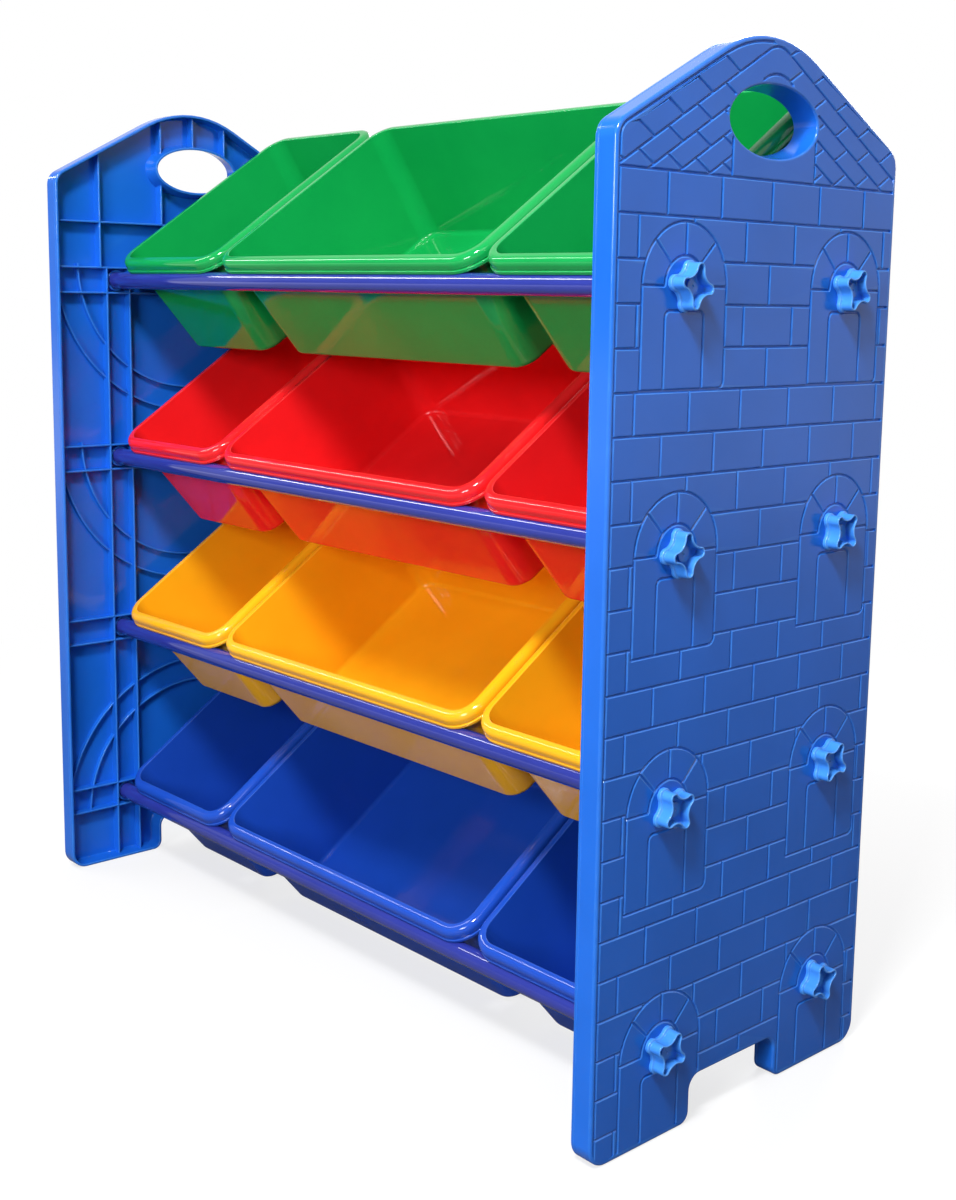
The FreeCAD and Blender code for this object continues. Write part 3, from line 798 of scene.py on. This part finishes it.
# ---- finishes ----
class Shading:
    """Nodes of a material or a world, and short ways to add more."""

    def __init__(self, owner):
        owner.use_nodes = True
        self.nodes, self.links = owner.node_tree.nodes, owner.node_tree.links

    def add(self, kind):
        return self.nodes.new(f"ShaderNode{kind}")

    def place(self, kind):
        return self.add("TexCoord").outputs[kind]

    def combine(self, operation, first, second):
        node = self.add("Math")
        node.operation = operation
        self.links.new(first, node.inputs[0])
        self.links.new(second, node.inputs[1])
        return node.outputs["Value"]

    def spread(self, value, span, levels=(0, 1)):
        """Maps the span of a value to two levels, and stops there."""
        node = self.add("MapRange")
        node.inputs["From Min"].default_value, node.inputs["From Max"].default_value = span
        node.inputs["To Min"].default_value, node.inputs["To Max"].default_value = levels
        self.links.new(value, node.inputs["Value"])
        return node.outputs["Result"]

    def blend(self, factor, first, second):
        """Mixes two colours, each a value or the output of a node."""
        node = self.add("Mix")
        node.data_type = "RGBA"
        self.links.new(factor, node.inputs["Factor"])
        for socket, value in (("A", first), ("B", second)):
            if isinstance(value, tuple):
                node.inputs[socket].default_value = value
            else:
                self.links.new(value, node.inputs[socket])
        return node.outputs["Result"]

    def either_shader(self, factor, first, second):
        node = self.add("MixShader")
        self.links.new(factor, node.inputs["Fac"])
        self.links.new(first, node.inputs[1])
        self.links.new(second, node.inputs[2])
        return node.outputs["Shader"]

    def mirrored_rays(self, path):
        """One for rays that a surface mirrors or lets through."""
        return self.combine("MAXIMUM", path.outputs["Is Glossy Ray"], path.outputs["Is Transmission Ray"])


def moulded(name, colour, roughness, grain=0.00002, wear_and_highlight_gain=0.22, coat=0.0):
    """Glossy moulded plastic or paint: slight mottling, uneven gloss, fine waviness, pale edges for wear and
    as a painted highlight.
    """
    material = bpy.data.materials.new(name)
    tree = Shading(material)
    shader = tree.nodes["Principled BSDF"]
    shader.inputs["IOR"].default_value = PLASTIC_IOR
    shader.inputs["Coat Weight"].default_value = coat
    shader.inputs["Coat Roughness"].default_value = COAT_ROUGHNESS
    place = tree.place("Object")
    darker, lighter = MOTTLE_TONES
    glossiest, dullest = GLOSS_SPREAD

    def noise(scale, detail):
        texture = tree.add("TexNoise")
        texture.inputs["Scale"].default_value = scale
        texture.inputs["Detail"].default_value = detail
        tree.links.new(place, texture.inputs["Vector"])
        return texture.outputs["Fac"]

    def bump(height, distance):
        node = tree.add("Bump")
        node.inputs["Distance"].default_value = distance
        node.inputs["Strength"].default_value = BUMP_STRENGTH
        tree.links.new(height, node.inputs["Height"])
        return node

    dark = tuple(channel * darker for channel in colour) + (1.0,)
    light = tuple(min(channel * lighter + MOTTLE_LIFT, 1.0) for channel in colour) + (1.0,)
    # Paler tone on outward edges: wear, and a painted highlight along every outward edge.
    worn_and_highlit = tuple(channel + (math.sqrt(channel) - channel) * wear_and_highlight_gain for channel in colour) + (1.0,)
    mottled = tree.blend(tree.spread(noise(MOTTLE_SCALE, 4), NOISE_SPAN), dark, light)
    wear_and_highlight = tree.add("Attribute")
    wear_and_highlight.attribute_name = "wear_and_highlight"
    uneven = tree.spread(noise(WEAR_AND_HIGHLIGHT_SCALE, 5), NOISE_SPAN, WEAR_AND_HIGHLIGHT_SHARES)
    wear_and_highlight_mask = tree.combine("MULTIPLY", wear_and_highlight.outputs["Fac"], uneven)
    tree.links.new(tree.blend(wear_and_highlight_mask, mottled, worn_and_highlit), shader.inputs["Base Color"])
    gloss = tree.spread(noise(GLOSS_SCALE, 6), NOISE_SPAN, (roughness * glossiest, roughness * dullest))
    tree.links.new(gloss, shader.inputs["Roughness"])
    wave = bump(noise(WAVE_SCALE, 3), grain)
    fine = bump(noise(GRAIN_SCALE, 2), grain * GRAIN_SHARE)
    tree.links.new(wave.outputs["Normal"], fine.inputs["Normal"])
    tree.links.new(fine.outputs["Normal"], shader.inputs["Normal"])
    return material


materials = {
    # The panel's edges are paled most: a painted highlight on its rims and groove edges, with some wear.
    "panel_blue": moulded("moulded_panel_blue", (0.008, 0.13, 0.64), 0.16, wear_and_highlight_gain=0.4),
    "tube_paint": moulded("painted_tube_blue", (0.022, 0.035, 0.30), 0.10, grain=0.00001, coat=0.5),
    "plug_grey": moulded("moulded_plug_grey", (0.08, 0.08, 0.09), 0.4),
    "knob_blue": moulded("moulded_knob_blue", (0.05, 0.27, 0.82), 0.2),
    "bin_green": moulded("moulded_bin_green", (0.004, 0.34, 0.07), 0.07),
    "bin_red": moulded("moulded_bin_red", (0.90, 0.012, 0.016), 0.07),
    "bin_yellow": moulded("moulded_bin_yellow", (1.0, 0.46, 0.008), 0.07),
    "bin_blue": moulded("moulded_bin_blue", (0.010, 0.07, 0.50), 0.07),
}

# ---- the whole organiser ----
right_panel = end_panel()
piece("right_panel", right_panel, "panel_blue", "frame")
piece("left_panel", right_panel.mirrored(), "panel_blue", "frame")
for row, row_height in enumerate(ROW_HEIGHTS):
    for place, tube_depth in TUBE_PLACES.items():
        name = f"{place}_{row + 1}"
        piece(f"tube_{name}", tube(tube_depth, row_height), "tube_paint", "frame")
        right_knob = knob(tube_depth, row_height, KNOB_TURNS[place][row])
        piece(f"knob_{name}_right", right_knob, "knob_blue", f"knob_{name}_right")
        piece(f"knob_{name}_left", right_knob.mirrored(), "knob_blue", f"knob_{name}_left")
        for side in ("left", "right"):
            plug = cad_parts[f"plug_{name}_{side}"]
            plug.data.materials.clear()
            plug.data.materials.append(materials["plug_grey"])
    for side, (bin_width, bin_middle) in BIN_PLACES.items():
        name = f"{BIN_COLOURS[row]}_bin_{side}"
        piece(name, hung_bin(bin_width, bin_middle, row_height), f"bin_{BIN_COLOURS[row]}", name)


# ---- floor, light and camera ----
def studio_floor():
    """Pale floor that keeps a soft shadow near the object and is white farther out."""
    material = bpy.data.materials.new("studio_floor")
    tree = Shading(material)
    path = tree.add("LightPath")
    camera_ray = path.outputs["Is Camera Ray"]
    shader = tree.nodes["Principled BSDF"]
    shader.inputs["Roughness"].default_value = FLOOR_ROUGHNESS
    bounced, seen = [(tone, tone, tone, 1) for tone in FLOOR_TONES]
    tree.links.new(tree.blend(camera_ray, bounced, seen), shader.inputs["Base Color"])
    away = tree.add("VectorMath")
    away.operation = "LENGTH"
    tree.links.new(tree.place("Object"), away.inputs[0])
    near_white = tree.spread(away.outputs["Value"], FLOOR_FADE, (FLOOR_GLOW, 1))
    far_white = tree.spread(away.outputs["Value"], MIRROR_FADE)
    direct = tree.combine("MULTIPLY", near_white, camera_ray)
    mirrored = tree.combine("MULTIPLY", far_white, tree.mirrored_rays(path))
    white = tree.add("Emission").outputs["Emission"]
    mixed = tree.either_shader(tree.combine("MAXIMUM", direct, mirrored), shader.outputs["BSDF"], white)
    tree.links.new(mixed, tree.nodes["Material Output"].inputs["Surface"])
    return material


def studio_world():
    """Dim room that is brighter towards its windows, with a white backdrop for the camera."""
    world = bpy.data.worlds.new("studio")
    tree = Shading(world)
    room = tree.nodes["Background"]
    room.inputs["Color"].default_value = ROOM_TINT
    toward = tree.add("VectorMath")
    toward.operation = "DOT_PRODUCT"
    toward.inputs[1].default_value = Vector(WINDOWS).normalized()
    tree.links.new(tree.place("Generated"), toward.inputs[0])
    tree.links.new(tree.spread(toward.outputs["Value"], (-1, 1), ROOM_LEVELS), room.inputs["Strength"])
    backdrop = tree.add("Background")
    backdrop.inputs["Color"].default_value = (1, 1, 1, 1)
    direction = tree.add("SeparateXYZ")
    tree.links.new(tree.place("Generated"), direction.inputs["Vector"])
    path = tree.add("LightPath")
    behind = tree.spread(direction.outputs["Y"], BACKDROP_SPAN)
    mirrored = tree.combine("MULTIPLY", behind, tree.mirrored_rays(path))
    seen = tree.combine("MAXIMUM", path.outputs["Is Camera Ray"], mirrored)
    mixed = tree.either_shader(seen, room.outputs["Background"], backdrop.outputs["Background"])
    tree.links.new(mixed, tree.nodes["World Output"].inputs["Surface"])
    return world


def softbox(name, place, target, size, power):
    """Rectangular studio light that points at a target."""
    lamp = bpy.data.lights.new(name, "AREA")
    lamp.shape = "RECTANGLE"
    lamp.size, lamp.size_y = size
    lamp.energy = power
    light = bpy.data.objects.new(name, lamp)
    light.location = place
    light.rotation_euler = (Vector(target) - Vector(place)).to_track_quat("-Z", "Y").to_euler()
    bpy.context.scene.collection.objects.link(light)


floor_corners = [(-FLOOR_REACH, -FLOOR_REACH, 0), (FLOOR_REACH, -FLOOR_REACH, 0),
                 (FLOOR_REACH, FLOOR_REACH, 0), (-FLOOR_REACH, FLOOR_REACH, 0)]
floor_mesh = bpy.data.meshes.new("floor")
floor_mesh.from_pydata(floor_corners, [], [(0, 1, 2, 3)])
floor_mesh.materials.append(studio_floor())
floor = bpy.data.objects.new("floor", floor_mesh)
bpy.context.scene.collection.objects.link(floor)
bpy.context.scene.world = studio_world()
for lamp_settings in LAMPS:
    softbox(*lamp_settings)

camera = bpy.data.cameras.new("camera")
camera.sensor_fit = "VERTICAL"
camera.sensor_height = SENSOR_HEIGHT
camera.lens = FOCAL_LENGTH * SENSOR_HEIGHT / PICTURE[1]
camera.shift_x = (PICTURE[0] / 2 - PICTURE_AXIS[0]) / PICTURE[1]
camera.shift_y = (PICTURE_AXIS[1] - PICTURE[1] / 2) / PICTURE[1]
viewer = bpy.data.objects.new("camera", camera)
turned = Matrix((CAMERA_RIGHT, -Vector(CAMERA_DOWN), -Vector(CAMERA_FORWARD))).transposed()
viewer.matrix_world = Matrix.Translation(CAMERA_PLACE) @ turned.to_4x4()
bpy.context.scene.collection.objects.link(viewer)
bpy.context.scene.camera = viewer
bpy.context.scene.view_settings.view_transform = "Standard"
